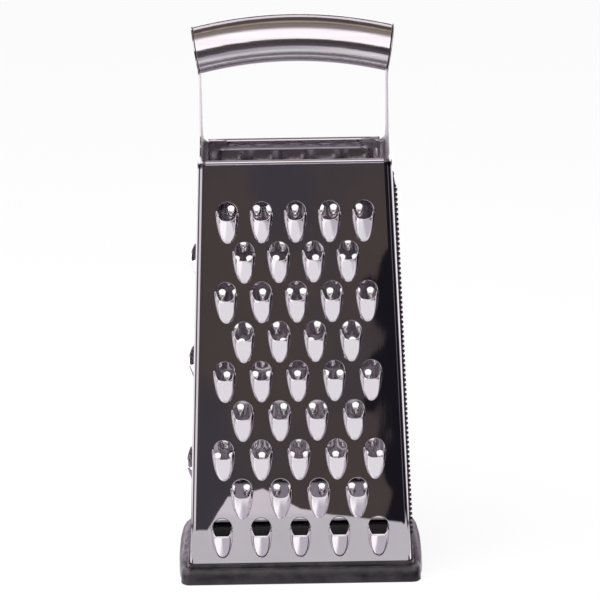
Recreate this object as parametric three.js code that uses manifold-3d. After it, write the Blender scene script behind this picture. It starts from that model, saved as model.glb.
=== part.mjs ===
// A four-sided box grater: polished steel faces with coarse teeth, medium teeth, slicing blades and
// fine spikes, an arched brushed grip between two legs, and a rubber ring round the foot.
// Millimetres, +Z up. The origin is the middle of the footprint, on the table.
// The coarse face looks along -Y, the slicing face along -X.
import * as THREE from "three";
import { mergeVertices } from "three/addons/utils/BufferGeometryUtils.js";
import Module from "manifold-3d";

const wasm = await Module();
wasm.setup();

// Sheet steel, and the clearance between pieces that touch
const sheet = 0.6;
const fitGap = 0.3;

// Body, over the outer faces of the sheets, at the table and at the top
const bodyTop = 186.5;
const footWidth = 97.7;
const topWidth = 83;
const footDepth = 68.9;
const topDepth = 55;

// Corners: the front and back sheets wrap round the flanged side sheets
const wrapRadius = 1.8;
const wrapLip = 3;
const flangeRadius = 3;
const flangeLength = 5;

// Rolled hem along the top of the front and back sheets
const hemRadius = 1.1;
const hemProud = 0.1;
const hemLip = 4;
const hemRoll = THREE.MathUtils.degToRad(200);
const hemCornerGap = 4.5;

// Coarse teeth of the front face, measured from the top and from the sheet's edges
const coarseFirstRow = 22;
const coarseRowPitch = 17.45;
const coarseFootMargin = 20;
const coarseSideMargin = 10;
const coarseTopPitch = 14.2;
const coarseFootPitch = 17.5;
const coarseHole = 8.1;
const coarseToothWidth = 8.8;
const coarseToothLength = 13.6;
const coarseToothHeight = 3;

// Medium teeth of the back face
const mediumFirstRow = 16.7;
const mediumRowPitch = 7.73;
const mediumFootMargin = 20;
const mediumSideMargin = 9.7;
const mediumTopPitch = 5.44;
const mediumFootPitch = 7.08;
const mediumHole = 2.7;
const mediumToothWidth = 3;
const mediumToothHeight = 1.2;

// Slicing blades of the left face
const bladeFirstRow = 44.1;
const bladePitch = 46.55;
const bladeFootMargin = 40;
const bladeSlotWidth = 40;
const bladeSlotRise = 0.5;
const bladeSlotDrop = 3.3;
const bladeWidth = 44;
const bladeLength = 13.6;
const bladeHeight = 4.7;

// Fine spikes of the right face
const spikeFirstRow = 19;
const spikeRowPitch = 4.6;
const spikeFootMargin = 20;
const spikeSideMargin = 8;
const spikeColumnPitch = 5.2;
const spikeWidth = 1.7;
const spikeHeight = 1.8;

// Legs: the side sheets narrow above the body, stand upright and lean out along the grip's ends
const legFlareHeight = 10;
const legFootWidth = 25;
const legTopWidth = 16;
const legCornerCut = 2.6;

// Arched oval grip between the legs
const gripTop = 58.7;
const gripHeight = 19.6;
const gripDepth = 23;
const gripRise = 4.9;
const gripEndLean = THREE.MathUtils.degToRad(8.5);
const gripWall = 0.8;
const gripSeat = 0.8;

// Rubber ring: groove for the sheets, inner lip, bevelled band and a flap on each narrow side,
// which leans in against the side sheet over the first share of its rise
const ringSeat = 2.7;
const ringGroove = 3.5;
const ringInnerLip = 2.5;
const ringInnerHeight = 6;
const ringWall = 3.7;
const ringBand = 8;
const ringLipTop = 9.2;
const ringLipWidth = 0.9;
const ringLedge = 2.3;
const ringEdge = 0.7;
const flapTop = 19;
const flapLipWidth = 0.9;
const flapBulge = 6.4;
const flapBulgeHeight = 5;
const flapRamp = 1 / 3;

// Numbers of facets, and the share of a tooth's dome that is left flat at its crest
const coarseFacets = { steps: 6, levels: 1, sides: 10 };
const bladeFacets = { steps: 12, levels: 3, sides: 20 };
const crestShare = 0.35;
const curveSegments = 6;
const cornerSteps = 5;
const flapSteps = 14;
const ovalSides = 20;
const gripSteps = 10;

const polishedSteel = new THREE.MeshStandardMaterial({ color: 0xb9b5b7, roughness: 0.08, metalness: 1 });
const brushedSteel = new THREE.MeshStandardMaterial({ color: 0xb7b2b0, roughness: 0.32, metalness: 1 });
const darkRubber = new THREE.MeshStandardMaterial({ color: 0x2f2d30, roughness: 0.7, metalness: 0 });

const { lerp, clamp } = THREE.MathUtils;
const vector = (x, y, z) => new THREE.Vector3(x, y, z);

// Heights and sizes that follow from the driving dimensions
const sheetFoot = ringSeat + fitGap;
const sheetTop = bodyTop - hemRadius;
const sheetStack = sheet + fitGap;
const halfWidth = (z) => lerp(footWidth, topWidth, z / bodyTop) / 2;
const halfDepth = (z) => lerp(footDepth, topDepth, z / bodyTop) / 2;
const sideOffset = (z) => halfWidth(z) - sheetStack;
const gripEndHeight = bodyTop + gripTop - gripHeight / 2 - gripRise;
const leanStart = gripEndHeight - gripHeight / 2 - gripSeat;
const legOffset = sideOffset(bodyTop);
const blankTop = gripEndHeight + gripHeight;

/** Closed solid of a geometry, keeping nothing but its positions. */
function solidOf(geometry) {
  const bare = new THREE.BufferGeometry();
  bare.setAttribute("position", geometry.getAttribute("position"));
  bare.setIndex(geometry.getIndex());
  const merged = mergeVertices(bare, 1e-5);
  const vertProperties = Float32Array.from(merged.getAttribute("position").array);
  const triVerts = Uint32Array.from(merged.getIndex().array);
  return new wasm.Manifold(new wasm.Mesh({ numProp: 3, vertProperties, triVerts }));
}

/** Geometry of a solid, ready for a mesh. */
function geometryOf(solid) {
  const { vertProperties, triVerts } = solid.getMesh();
  const geometry = new THREE.BufferGeometry();
  geometry.setAttribute("position", new THREE.BufferAttribute(vertProperties, 3));
  geometry.setIndex(new THREE.BufferAttribute(triVerts, 1));
  geometry.computeVertexNormals();
  return geometry;
}

/** Triangles between two neighbouring rings of points, given the index of each ring's first point. */
function bandTriangles(first, second, count) {
  const triangles = [];
  for (let i = 0; i < count; i += 1) {
    const next = (i + 1) % count;
    triangles.push(first + i, first + next, second + next);
    triangles.push(first + i, second + next, second + i);
  }
  return triangles;
}

/** Solid of points and triangles, turned so that its faces point outwards. */
function closedSolid(points, triangles) {
  const corner = (k) => points[triangles[k]];
  let volume = 0;
  for (let k = 0; k < triangles.length; k += 3) {
    volume += corner(k).dot(corner(k + 1).clone().cross(corner(k + 2)));
  }
  const geometry = new THREE.BufferGeometry().setFromPoints(points);
  geometry.setIndex(volume > 0 ? triangles : [...triangles].reverse());
  return solidOf(geometry);
}

/** Solid through rings of equally many points, with flat ends as seen along the two given axes. */
function loft(sections, across = "x", up = "y") {
  const flat = (ring) => ring.map((p) => new THREE.Vector2(p[across], p[up]));
  const clockwise = THREE.ShapeUtils.isClockWise(flat(sections[0]));
  const rings = clockwise ? sections.map((ring) => [...ring].reverse()) : sections;
  const count = rings[0].length;
  const last = (rings.length - 1) * count;
  const triangles = [];
  for (let first = 0; first < last; first += count) {
    triangles.push(...bandTriangles(first, first + count, count));
  }
  const capOf = (ring) => THREE.ShapeUtils.triangulateShape(flat(ring), []);
  capOf(rings[0]).forEach(([a, b, c]) => triangles.push(c, b, a));
  capOf(rings.at(-1)).forEach(([a, b, c]) => triangles.push(last + a, last + b, last + c));
  return closedSolid(rings.flat(), triangles);
}

/** Level section of a sheet facing -Y whose two edges bend back by a right angle into straight lips. */
function channelRing(z, half, offset, bend, lip) {
  const edge = (radius) => {
    const points = [];
    for (let i = 0; i <= cornerSteps; i += 1) {
      const turn = (Math.PI / 2) * (i / cornerSteps - 1);
      points.push(vector(half - bend + radius * Math.cos(turn), bend - offset + radius * Math.sin(turn), z));
    }
    points.push(vector(half - bend + radius, bend - offset + lip, z));
    return points;
  };
  const mirrored = (points) => points.map((p) => vector(-p.x, p.y, p.z));
  const outer = edge(bend);
  const inner = edge(bend - sheet);
  return [...outer, ...[...inner].reverse(), ...mirrored(inner), ...mirrored(outer).reverse()];
}

/** Frame of a leaning face that looks along -Y: x across, y up the face, z out of it. */
function faceFrame(offset, across, z) {
  const slope = (offset(0) - offset(bodyTop)) / bodyTop;
  const right = vector(1, 0, 0);
  const upward = vector(0, slope, 1).normalize();
  const outward = right.clone().cross(upward);
  return new THREE.Matrix4().makeBasis(right, upward, outward).setPosition(across, -offset(z), z);
}

/** Staggered places on a face, from the first row down, their pitch growing towards the foot. */
function staggeredPlaces({ firstRow, rowPitch, footMargin, halfSpan, topPitch, footPitch }) {
  const places = [];
  let shift = 0;
  for (let z = bodyTop - firstRow; z >= footMargin; z -= rowPitch) {
    const pitch = lerp(footPitch, topPitch, z / bodyTop);
    const reach = Math.floor(halfSpan(z) / pitch - shift);
    for (let k = -reach - 2 * shift; k <= reach; k += 1) {
      places.push({ across: (k + shift) * pitch, z });
    }
    shift = 0.5 - shift;
  }
  return places;
}

/** Lower half of a flattened dome that stands on the given base, with a skirt below it. */
function scoop(half, length, height, base, skirt, { steps, levels }) {
  const crown = (levels / (levels + crestShare)) * (Math.PI / 2);
  const ringAt = (rise, z) => {
    const ring = [];
    for (let i = 0; i <= steps; i += 1) {
      const turn = Math.PI * (1 + i / steps);
      ring.push(vector(half * Math.cos(rise) * Math.cos(turn), length * Math.cos(rise) * Math.sin(turn), z));
    }
    return ring;
  };
  const rings = [ringAt(0, base - skirt)];
  for (let level = 0; level <= levels; level += 1) {
    const rise = (crown * level) / levels;
    rings.push(ringAt(rise, base + (height * Math.sin(rise)) / Math.sin(crown)));
  }
  return loft(rings);
}

/** Oval punch whose upper and lower halves may differ in height. */
function punch({ half, rise, drop }, height, sides) {
  const ringAt = (z) => {
    const ring = [];
    for (let i = 0; i < sides; i += 1) {
      const turn = (2 * Math.PI * i) / sides;
      const reach = turn < Math.PI ? rise : drop;
      ring.push(vector(half * Math.cos(turn), reach * Math.sin(turn), z));
    }
    return ring;
  };
  return loft([ringAt(-3 * sheet), ringAt(height + sheet)]);
}

/** Adds punched teeth to a sheet: a raised hollow scoop below each hole, its cutting edge looking up. */
function withTeeth(panel, hole, tooth, frames, facets) {
  const { half, length, height } = tooth;
  const crown = scoop(half, length, height, 0, sheet / 2, facets);
  const hollow = scoop(half - sheet, length - 2 * sheet, height, -sheet, sheet, facets);
  const cutter = hollow.add(punch(hole, height, facets.sides));
  return panel.add(copiesAt(frames, crown)).subtract(copiesAt(frames, cutter));
}

/** One solid of equal copies, each moved into its frame. */
function copiesAt(frames, solid) {
  return wasm.Manifold.union(frames.map((frame) => solid.transform(frame.elements)));
}

/** Three-sided pyramid that points out of a sheet, with a level upper edge at y = 0. */
function thorn(width, height) {
  const root = sheet / 2;
  const radius = width / Math.sqrt(3);
  const cone = new THREE.ConeGeometry(radius, height + root, 3).rotateX(Math.PI / 2);
  return solidOf(cone.translate(0, -radius / 2, (height - root) / 2));
}

/** Rolled hem with its inner lip, along the top of a sheet that looks along -Y. */
function hem() {
  const end = topWidth / 2 - hemCornerGap;
  const y = hemRadius - hemProud - topDepth / 2;
  const arc = (radius) => {
    const points = [];
    for (let i = 0; i <= 2 * cornerSteps; i += 1) {
      const turn = hemRoll * (1 - i / (2 * cornerSteps));
      points.push([y + radius * Math.cos(turn), sheetTop + radius * Math.sin(turn)]);
    }
    points.push([y + radius, sheetTop - hemLip]);
    return points;
  };
  const profile = [...arc(hemRadius), ...arc(hemRadius - sheet).reverse()];
  return loft([-end, end].map((x) => profile.map(([py, pz]) => vector(x, py, pz))), "y", "z");
}

/** Front or back sheet before its teeth: a channel that wraps the corners, hemmed along the top. */
function wrappedSheet() {
  const ringAt = (z) => channelRing(z, halfWidth(z), halfDepth(z), wrapRadius, wrapLip);
  return loft([sheetFoot, sheetTop].map(ringAt)).add(hem());
}

function frontPanel() {
  const places = staggeredPlaces({
    firstRow: coarseFirstRow,
    rowPitch: coarseRowPitch,
    footMargin: coarseFootMargin,
    halfSpan: (z) => halfWidth(z) - coarseSideMargin,
    topPitch: coarseTopPitch,
    footPitch: coarseFootPitch,
  });
  const frames = places.map(({ across, z }) => faceFrame(halfDepth, across, z));
  const hole = { half: coarseHole / 2, rise: coarseHole / 2, drop: coarseHole / 2 };
  const tooth = { half: coarseToothWidth / 2, length: coarseToothLength, height: coarseToothHeight };
  return withTeeth(wrappedSheet(), hole, tooth, frames, coarseFacets);
}

function backPanel() {
  const places = staggeredPlaces({
    firstRow: mediumFirstRow,
    rowPitch: mediumRowPitch,
    footMargin: mediumFootMargin,
    halfSpan: (z) => halfWidth(z) - mediumSideMargin,
    topPitch: mediumTopPitch,
    footPitch: mediumFootPitch,
  });
  const holes = places.map(({ across, z }) => faceFrame(halfDepth, across, z));
  const teeth = places.map(({ across, z }) => faceFrame(halfDepth, across, z - mediumHole / 2 - fitGap));
  const hole = solidOf(new THREE.BoxGeometry(mediumHole, mediumHole, 4 * sheet));
  const tooth = thorn(mediumToothWidth, mediumToothHeight);
  return wrappedSheet().add(copiesAt(teeth, tooth)).subtract(copiesAt(holes, hole));
}

/** Outline of a side sheet with its leg and oval end plate, seen along the sheet. */
function legOutline() {
  const wide = footDepth;
  const cut = topDepth / 2 - legCornerCut;
  const oval = { across: gripDepth / 2, up: (gripHeight / 2) * Math.cos(gripEndLean) };
  const joint = Math.acos(clamp(legTopWidth / gripDepth, 0, 1));
  const shape = new THREE.Shape();
  shape.moveTo(wide, -bodyTop);
  shape.lineTo(wide, sheetTop - hemLip - hemRadius);
  shape.lineTo(cut, sheetTop - hemLip - hemRadius);
  shape.lineTo(cut, sheetTop);
  shape.quadraticCurveTo(legFootWidth / 2, sheetTop, legFootWidth / 2, sheetTop + legFlareHeight);
  shape.absellipse(0, gripEndHeight, oval.across, oval.up, -joint, Math.PI + joint, false);
  shape.lineTo(-legFootWidth / 2, sheetTop + legFlareHeight);
  shape.quadraticCurveTo(-legFootWidth / 2, sheetTop, -cut, sheetTop);
  shape.lineTo(-cut, sheetTop - hemLip - hemRadius);
  shape.lineTo(-wide, sheetTop - hemLip - hemRadius);
  shape.lineTo(-wide, -bodyTop);
  return shape;
}

/** Side sheet before its teeth, facing -Y: a flanged channel cut to the outline of body, leg and plate. */
function flangedSheet() {
  const half = (z) => halfDepth(Math.min(z, bodyTop)) - sheetStack;
  const lean = Math.tan(gripEndLean);
  const offset = (z) => (z > bodyTop ? legOffset + lean * Math.max(z - leanStart, 0) : sideOffset(z));
  const ringAt = (z) => channelRing(z, half(z), offset(z), flangeRadius, flangeLength);
  const blank = loft([sheetFoot, bodyTop, leanStart, blankTop].map(ringAt));
  const depth = 2 * footWidth;
  const outline = new THREE.ExtrudeGeometry(legOutline(), { depth, bevelEnabled: false, curveSegments });
  outline.rotateX(Math.PI / 2);
  outline.translate(0, depth / 2, 0);
  return blank.intersect(solidOf(outline));
}

function leftPanel() {
  const frames = [];
  for (let z = bodyTop - bladeFirstRow; z >= bladeFootMargin; z -= bladePitch) {
    frames.push(faceFrame(sideOffset, 0, z));
  }
  const slot = { half: bladeSlotWidth / 2, rise: bladeSlotRise, drop: bladeSlotDrop };
  const blade = { half: bladeWidth / 2, length: bladeLength, height: bladeHeight };
  return withTeeth(flangedSheet(), slot, blade, frames, bladeFacets);
}

function rightPanel() {
  const places = staggeredPlaces({
    firstRow: spikeFirstRow,
    rowPitch: spikeRowPitch,
    footMargin: spikeFootMargin,
    halfSpan: (z) => halfDepth(z) - spikeSideMargin,
    topPitch: spikeColumnPitch,
    footPitch: spikeColumnPitch,
  });
  const frames = places.map(({ across, z }) => faceFrame(sideOffset, across, z));
  return flangedSheet().add(copiesAt(frames, thorn(spikeWidth, spikeHeight)));
}

/** Arched oval tube whose ends lean with the end plates of the legs. */
function gripTube() {
  const middleLean = Math.tan(gripEndLean) * (gripEndHeight - leanStart);
  const end = legOffset - sheet - fitGap + middleLean;
  const oval = (share, wall) => {
    const lean = gripEndLean * share;
    const height = gripEndHeight + gripRise * (1 - share * share);
    const ring = [];
    for (let i = 0; i < ovalSides; i += 1) {
      const turn = (2 * Math.PI * i) / ovalSides;
      const across = (gripDepth / 2 - wall) * Math.cos(turn);
      const rise = (gripHeight / 2 - wall) * Math.sin(turn);
      ring.push(vector(end * share + rise * Math.sin(lean), across, height + rise * Math.cos(lean)));
    }
    return ring;
  };
  const shares = Array.from({ length: gripSteps + 1 }, (_, i) => (2 * i) / gripSteps - 1);
  const skin = loft(shares.map((share) => oval(share, 0)), "y", "z");
  const past = 1 + 1 / gripSteps;
  const bore = loft([-past, ...shares, past].map((share) => oval(share, gripWall)), "y", "z");
  return skin.subtract(bore);
}

/** Outer side of the ring's section, from its upper edge down, as distances from the body and heights. */
function ringOutside(flap) {
  const band = [
    [fitGap + ringLipWidth, ringLipTop],
    [ringLedge, ringBand],
    [ringWall - ringEdge, ringBand],
    [ringWall, ringBand - ringEdge],
    [ringWall, ringBand / 2],
    [ringWall, ringEdge],
    [ringWall - ringEdge, 0],
  ];
  const crest = fitGap + flapLipWidth - sheetStack;
  return band.map(([distance, height], i) => {
    const fall = i / (band.length - 3);
    const above = fall < 1;
    const arched = above ? crest + (flapBulge - crest) * Math.sin((fall * Math.PI) / 2) : distance;
    const flapDistance = above ? arched : flapBulge - ringWall + distance;
    const flapHeight = above ? lerp(flapBulgeHeight, flapTop, Math.cos((fall * Math.PI) / 2)) : height;
    return [lerp(distance, flapDistance, flap), lerp(height, flapHeight, flap)];
  });
}

/** Section of the ring at a place where the flap stands up by the given share. */
function ringSection(flap) {
  const wallFace = fitGap - sheetStack * Math.min(1, flap / flapRamp);
  return [
    [-ringGroove - ringInnerLip, 0],
    [-ringGroove - ringInnerLip, ringInnerHeight],
    [-ringGroove, ringInnerHeight],
    [-ringGroove, ringSeat],
    [wallFace, ringSeat],
    [wallFace, lerp(ringLipTop, flapTop, flap)],
    ...ringOutside(flap),
  ];
}

/** Point of the ring round the body's outline: quarter 0 to 3, then along its arc and its straight side. */
function ringPoint(quarter, turn, along, distance, z) {
  const radius = Math.max(wrapRadius + distance, sheet);
  const x = halfWidth(z) + distance - radius;
  const y = halfDepth(z) + distance - radius;
  const corners = [[x, -y], [x, y], [-x, y], [-x, -y]];
  const [fromX, fromY] = corners[quarter];
  const [toX, toY] = corners[(quarter + 1) % 4];
  const angle = (quarter - 1 + turn) * (Math.PI / 2);
  const px = lerp(fromX, toX, along) + radius * Math.cos(angle);
  const py = lerp(fromY, toY, along) + radius * Math.sin(angle);
  return vector(px, py, z);
}

/** Rubber ring, swept once round the body. */
function baseRing() {
  const clear = (wrapRadius + wrapLip + fitGap) / footDepth;
  const rings = [];
  const addStation = (quarter, turn, along) => {
    const side = quarter % 2 === 0 && turn === 1;
    const share = clamp((along - clear) / (1 - 2 * clear), 0, 1);
    const flap = side ? Math.sin(Math.PI * share) : 0;
    rings.push(ringSection(flap).map(([d, z]) => ringPoint(quarter, turn, along, d, z)));
  };
  for (let quarter = 0; quarter < 4; quarter += 1) {
    for (let i = 0; i < cornerSteps; i += 1) {
      addStation(quarter, i / cornerSteps, 0);
    }
    const steps = quarter % 2 === 0 ? flapSteps : 1;
    for (let i = 0; i < steps; i += 1) {
      addStation(quarter, 1, i / steps);
    }
  }
  const count = rings[0].length;
  const after = (r) => ((r + 1) % rings.length) * count;
  const triangles = rings.flatMap((_, r) => bandTriangles(r * count, after(r), count));
  return closedSolid(rings.flat(), triangles);
}

const grater = new THREE.Group();

function addPiece(name, solid, material, turn = 0) {
  const mesh = new THREE.Mesh(geometryOf(solid), material);
  mesh.name = name;
  mesh.rotation.z = turn;
  grater.add(mesh);
}

addPiece("front_panel", frontPanel(), polishedSteel);
addPiece("right_panel", rightPanel(), polishedSteel, Math.PI / 2);
addPiece("back_panel", backPanel(), polishedSteel, Math.PI);
addPiece("left_panel", leftPanel(), polishedSteel, -Math.PI / 2);
addPiece("grip_tube", gripTube(), brushedSteel);
addPiece("base_ring", baseRing(), darkRubber);

export default grater;
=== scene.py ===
"""Looks of a four-sided box grater: mirror-polished sheets, a brushed grip and a rubber foot ring."""
import math
from collections import namedtuple

import bmesh
import bpy
import numpy as np
from bpy.props import FloatProperty, FloatVectorProperty, PointerProperty
from mathutils import Matrix, Vector


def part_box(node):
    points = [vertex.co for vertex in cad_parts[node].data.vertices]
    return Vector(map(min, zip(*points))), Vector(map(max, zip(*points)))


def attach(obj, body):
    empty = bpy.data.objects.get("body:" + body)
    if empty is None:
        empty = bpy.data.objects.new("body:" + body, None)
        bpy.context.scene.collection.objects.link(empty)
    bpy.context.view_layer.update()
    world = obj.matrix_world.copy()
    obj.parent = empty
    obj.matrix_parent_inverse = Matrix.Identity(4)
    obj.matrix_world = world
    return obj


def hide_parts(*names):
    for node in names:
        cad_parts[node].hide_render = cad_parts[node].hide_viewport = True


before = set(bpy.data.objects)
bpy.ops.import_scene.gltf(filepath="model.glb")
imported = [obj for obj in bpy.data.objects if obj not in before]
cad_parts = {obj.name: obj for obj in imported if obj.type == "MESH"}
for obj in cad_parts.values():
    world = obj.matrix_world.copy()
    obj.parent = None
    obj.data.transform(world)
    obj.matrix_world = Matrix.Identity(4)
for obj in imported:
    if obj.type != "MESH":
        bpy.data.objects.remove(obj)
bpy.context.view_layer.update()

bl_info = {
    "name": "Box Grater",
    "version": (1, 0, 0),
    "blender": (4, 5, 0),
    "location": "View3D > Sidebar > Grater",
    "description": "Builds the sheets, grip and foot ring of a box grater, and a studio for them",
    "category": "Add Mesh",
}

FRONT_LOW, FRONT_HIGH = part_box("front_panel")

# The camera of the photograph, in metres and degrees, with its focal length in frame widths
CAMERA_PLACE = (-0.0036, -1.2671, 0.4147)
CAMERA_YAW = 0.23
CAMERA_PITCH = 13.15
CAMERA_ROLL = -0.86
CAMERA_FOCAL = 4.9237
SENSOR_WIDTH = 36.0

# Front edge of the plate from left to right: from x, to x, and how much further it then reaches
PLATE_EDGE = ((-0.0437, -0.0352, 0.072), (-0.0352, -0.0186, 0.016), (-0.0186, 0.0006, -0.048),
              (0.0006, 0.0525, -0.034))

# Where the rows of points lie in the plain strip above the teeth, as parts of its height
STRIP_ROWS = np.array([0, 0.35, 0.7, 0.82, 0.87, 0.93, 1.0])

# Rows of coarse and medium teeth, and slicing blades
COARSE_ROWS = 9
MEDIUM_ROWS = 20
BLADES = 3

# Shape of a punched tooth: how straight a plain tongue falls, how much a broad one sinks towards its sides,
# and the sine over which it rises beside its hole
PLAIN_FALL = 0.85
BROAD_SINK = 0.22
BROAD_RISE = 0.3
TINY = 1e-24

# Section of the ring's band: parts of the way out to its wall, and drops below the ledge in edge widths
BAND_OUT = np.array([0, 0, 0.2, 0.65, 0.92, 1.0])
BAND_DROP = np.array([2.0, 1.0, 1.4, 2.7, 4.6])
FLAP_LEAN = 3.0
CORNER_SWELL = 0.3
FLAP_ROUND = 0.6

# Points closer than this are welded, and edges sharper than this are softened
WELD = 2e-6
SHARP_ANGLE = math.radians(60)

# Where a finish changes, in metres from the middle or the table: from where it starts to where it is full
SCUFF_UP = (0.160, 0.172)
SCUFF_ASIDE = (0.0378, 0.0390)
# Where the flaps' dust and painted sheen begin
DUST_AND_SHEEN_UP = (0.0045, 0.009)
DUST_AND_SHEEN_ASIDE = (0.0482, 0.0492)

# Zones of the mirrored floor in metres: the softness of edges, then where each zone starts and is full
PLATE_SOFT = 0.002
SIDE_SOFT = 0.01
NEAR_SOFT = 0.004
NEAR_ASIDE = 0.03
FOOT_DEEP = (0.032, 0.033)
FOOT_WIDE = (0.046, 0.047)
IN_FRONT = (0, 0.002)
RIM_FAR = (0.158, 0.172)
BEHIND_FAR = (0, -0.005)
FAR_PLATE_FAR = (-0.34, -0.42)
INNER_START = (-0.002, -0.006)
INNER_END = (0.022, 0.018)
WHITE_SHARE = 0.9

# Zones of the mirrored room, by the parts of a direction: from where a zone starts to where it is full
DOORWAY_RIGHT = (0.0285, 0.0300)
DOORWAY_FOOT = 0.145
DOORWAY_SLANT = 0.35
GREY_LINE_START = (1.8, 2.2)
GREY_LINE_END = (4.0, 3.2)
GREY_LINE_RIGHT = (0.15, 0.2)
LOW_ROOM_UP = (-0.26, -0.34)
LEFT_PANEL_RIGHT = (-0.22, -0.30)
LEFT_PANEL_LEAD = (0.6, 0.75)
SIDE_BACK = (-0.16, -0.12)
BEHIND_BACK = (0.10, 0.16)
BEAM_BACK = (0.35, -0.1)
STRIP_START = (0.47, 0.50)
STRIP_END = (0.75, 0.72)
STRIP_BACK = (0.2, 0.3)
TAN_START = (0.10, 0.14)
TAN_END = (0.27, 0.23)
TAN_UP = (0.90, 0.94)
LEFT_LIGHT_RIGHT = (-0.22, -0.34)
LEFT_LIGHT_UP = (0.75, 0.65)
LEFT_LIGHT_BACK = (0.45, 0.30)
HIGH_BACK = (0.30, 0.40)
HIGH_UP = (0.26, 0.20)
SOFTBOX_BACK = (-0.10, -0.16)
SOFTBOX_UP = (0.93, 0.83)
SOFTBOX_RIGHT = (0.45, 0.30)
GROUND_LEFT = (-0.01, -0.08)
CEILING_UP = (0.08, 0.13)
GROUND_UP = (-0.52, -0.60)
LEAST_ASIDE = 0.001

# Lamp above, in metres
LAMP_PLACE = (-0.4, -0.5, 1.2)
LAMP_TARGET = (0, 0, 0.1)
LAMP_SIZE = (1.2, 0.8)

# Quarter turns of the four faces from the one that looks along -Y
FRONT_TURN = 0
RIGHT_TURN = 1
BACK_TURN = 2
LEFT_TURN = -1


def length(name, description, default):
    """A length in metres, as a property."""
    return FloatProperty(name=name, description=description, default=default, unit="LENGTH", precision=5)


def colour(name, description, default):
    """A linear colour, as a property."""
    return FloatVectorProperty(name=name, description=description, default=default, subtype="COLOR")


class GRATER_PG_body(bpy.types.PropertyGroup):
    """Sizes of the four sheets"""
    height: length("Height", "Top of the rolled hems", FRONT_HIGH.z)
    sheet_foot: length("Sheet foot", "Lower edge of the sheets, in the ring's groove", FRONT_LOW.z)
    foot_width: length("Foot width", "Width over the sheets at the table", 0.0977)
    top_width: length("Top width", "Width over the sheets at the top", 0.083)
    foot_depth: length("Foot depth", "Depth over the sheets at the table", 0.0689)
    top_depth: length("Top depth", "Depth over the sheets at the top", 0.055)
    sheet: length("Sheet", "Thickness of the sheet steel", 0.0006)
    fine_sheet: length("Fine sheet", "Thickness of the sheet between the fine spikes", 0.00042)
    fit_gap: length("Fit gap", "Clearance between sheets that touch", 0.0003)
    wrap_radius: length("Wrap radius", "Bend of the front and back sheets round the corners", 0.0024)
    wrap_lip: length("Wrap lip", "Straight lip of the front and back sheets past the bend", 0.003)
    flange_radius: length("Flange radius", "Bend of the side sheets", 0.003)
    flange_length: length("Flange length", "Straight flange of the side sheets past the bend", 0.005)
    hem_radius: length("Hem radius", "Outer radius of the rolled hem", 0.0011)
    hem_proud: length("Hem proud", "How far the hem stands out of the sheet", 0.0005)
    hem_lip: length("Hem lip", "Straight lip of the hem inside the body", 0.004)
    hem_corner_gap: length("Hem corner gap", "Open corner beside the hem's ends", 0.0035)
    corner_notch: length("Corner notch", "How far the wide sheets are cut down at their corners", 0.0003)


class GRATER_PG_coarse(bpy.types.PropertyGroup):
    """Sizes of the coarse teeth"""
    first_row: length("First row", "Height of the uppermost holes", 0.1645)
    row_pitch: length("Row pitch", "Distance from row to row", 0.01745)
    top_pitch: length("Top pitch", "Distance from hole to hole at the top", 0.0142)
    foot_pitch: length("Foot pitch", "Distance from hole to hole at the table", 0.0175)
    hole: length("Hole", "Width of the hole", 0.0082)
    drop: length("Drop", "From the hole's middle to its cutting edge", 0.0033)
    foot_half: length("Footprint", "Half width of the pushed-out tongue", 0.0048)
    tongue: length("Tongue", "From the hole's middle to the tongue's tip", 0.0139)
    lip: length("Lip", "Height of the cutting edge", 0.0043)
    rim: length("Rim", "Rounding of the hole's upper edge", 0.0003)
    flank: FloatProperty(name="Flank", description="Steepness of the tongue's flanks", default=3.4)
    rim_reach: length("Rim reach", "How far the sheet round the hole is drawn in", 0.0005)


class GRATER_PG_medium(bpy.types.PropertyGroup):
    """Sizes of the medium teeth"""
    first_row: length("First row", "Height of the uppermost holes", 0.1698)
    row_pitch: length("Row pitch", "Distance from row to row", 0.00773)
    top_pitch: length("Top pitch", "Distance from hole to hole at the top", 0.00544)
    foot_pitch: length("Foot pitch", "Distance from hole to hole at the table", 0.00708)
    hole: length("Hole", "Width of the hole", 0.0034)
    foot_half: length("Footprint", "Half width of the pushed-out tongue", 0.0019)
    tongue: length("Tongue", "From the hole's middle to the tongue's tip", 0.0046)
    lip: length("Lip", "Height of the cutting edge", 0.0013)


class GRATER_PG_blade(bpy.types.PropertyGroup):
    """Sizes of the slicing blades"""
    first_row: length("First row", "Height of the uppermost slot", 0.1424)
    row_pitch: length("Row pitch", "Distance from slot to slot", 0.04655)
    slot: length("Slot", "Width of the slot", 0.040)
    slot_rise: length("Slot rise", "How far the slot reaches above its ends", 0.0005)
    slot_drop: length("Slot drop", "How far the slot sags below its ends", 0.0033)
    foot_half: length("Footprint", "Half width of the pushed-out blade", 0.022)
    foot_rise: length("Foot rise", "How far the blade's foot reaches above the slot's ends", 0.0014)
    tongue: length("Tongue", "From the slot to the lower end of the blade", 0.0136)
    dent: length("Dent", "How far the punch dents the sheet round the slot", 0.00005)
    margin: length("Margin", "Plain sheet left between the blades' field and the bends", 0.0004)
    lip: length("Lip", "Height of the cutting edge", 0.0039)


class GRATER_PG_spike(bpy.types.PropertyGroup):
    """Sizes of the fine spikes"""
    first_row: length("First row", "Height of the uppermost spikes", 0.1722)
    last_row: length("Last row", "Lowest height of a spike", 0.0165)
    row_pitch: length("Row pitch", "Distance from row to row", 0.00108)
    top_pitch: length("Top pitch", "Distance from spike to spike at the top", 0.0051)
    foot_pitch: length("Foot pitch", "Distance from spike to spike at the table", 0.0063)
    mouth: length("Mouth", "Width of the torn mouth", 0.0012)
    foot_half: length("Footprint", "Half width of the spike", 0.00098)
    lip: length("Lip", "Height of the torn edge", 0.0030)
    press: length("Press", "How far the spiked field stands out of the sheet; it is dished", -0.0010)
    press_edge: length("Press edge", "Width of the slope round the dished field", 0.012)


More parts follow.
